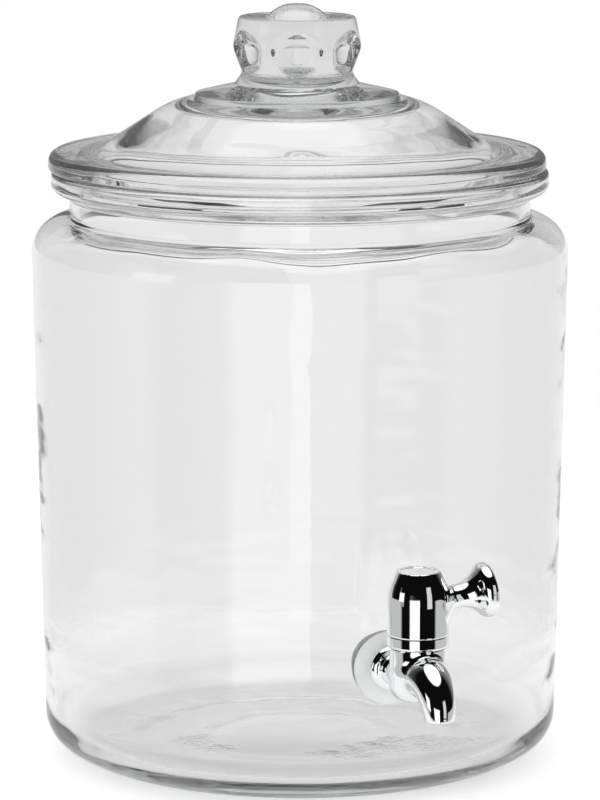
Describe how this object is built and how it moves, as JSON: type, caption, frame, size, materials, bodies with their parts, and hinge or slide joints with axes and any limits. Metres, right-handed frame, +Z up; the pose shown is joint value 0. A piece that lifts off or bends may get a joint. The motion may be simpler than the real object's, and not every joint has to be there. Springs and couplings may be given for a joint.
{
  "type": "drinks dispenser jar",
  "caption": "Straight-sided glass drinks jar with a domed glass lid, a scooped knob and a chromed lever tap near its base.",
  "frame": {"origin": "on the jar's axis at the plane of the foot ring that it stands on", "axes": "+Z up along the jar's axis, -Y out along the tap, +X towards the closed lever"},
  "size_m": [0.2486, 0.3135, 0.3518],
  "materials": {
    "clear_glass": "clear pressed and blown glass, polished",
    "chrome_plate": "bright chrome plate, mirror finish",
    "steel_screw": "zinc-plated steel",
    "core_plastic": "moulded white plastic",
    "ring_rubber": "black rubber",
    "clear_rubber": "milky soft rubber",
    "grey_rubber": "grey soft rubber",
    "nut_plastic": "moulded grey-white plastic"
  },
  "bodies": {
    "vessel": {"jar": "clear_glass", "lid": "clear_glass", "tap_body": "chrome_plate", "bonnet_ring": "chrome_plate", "outer_washer": "clear_rubber", "inner_washer": "grey_rubber", "backing_washer": "nut_plastic", "shank_nut": "nut_plastic"},
    "handle": {"tap_handle": "chrome_plate", "handle_disc": "chrome_plate", "handle_screw": "steel_screw", "valve_core": "core_plastic", "core_rings": "ring_rubber"}
  },
  "joints": [
    {"name": "handle_turn", "type": "hinge", "parent": "vessel", "child": "handle", "pos_m": [0, -0.15622, 0.0655], "axis": [0, 0, -1], "range_deg": [0, 90]}
  ]
}
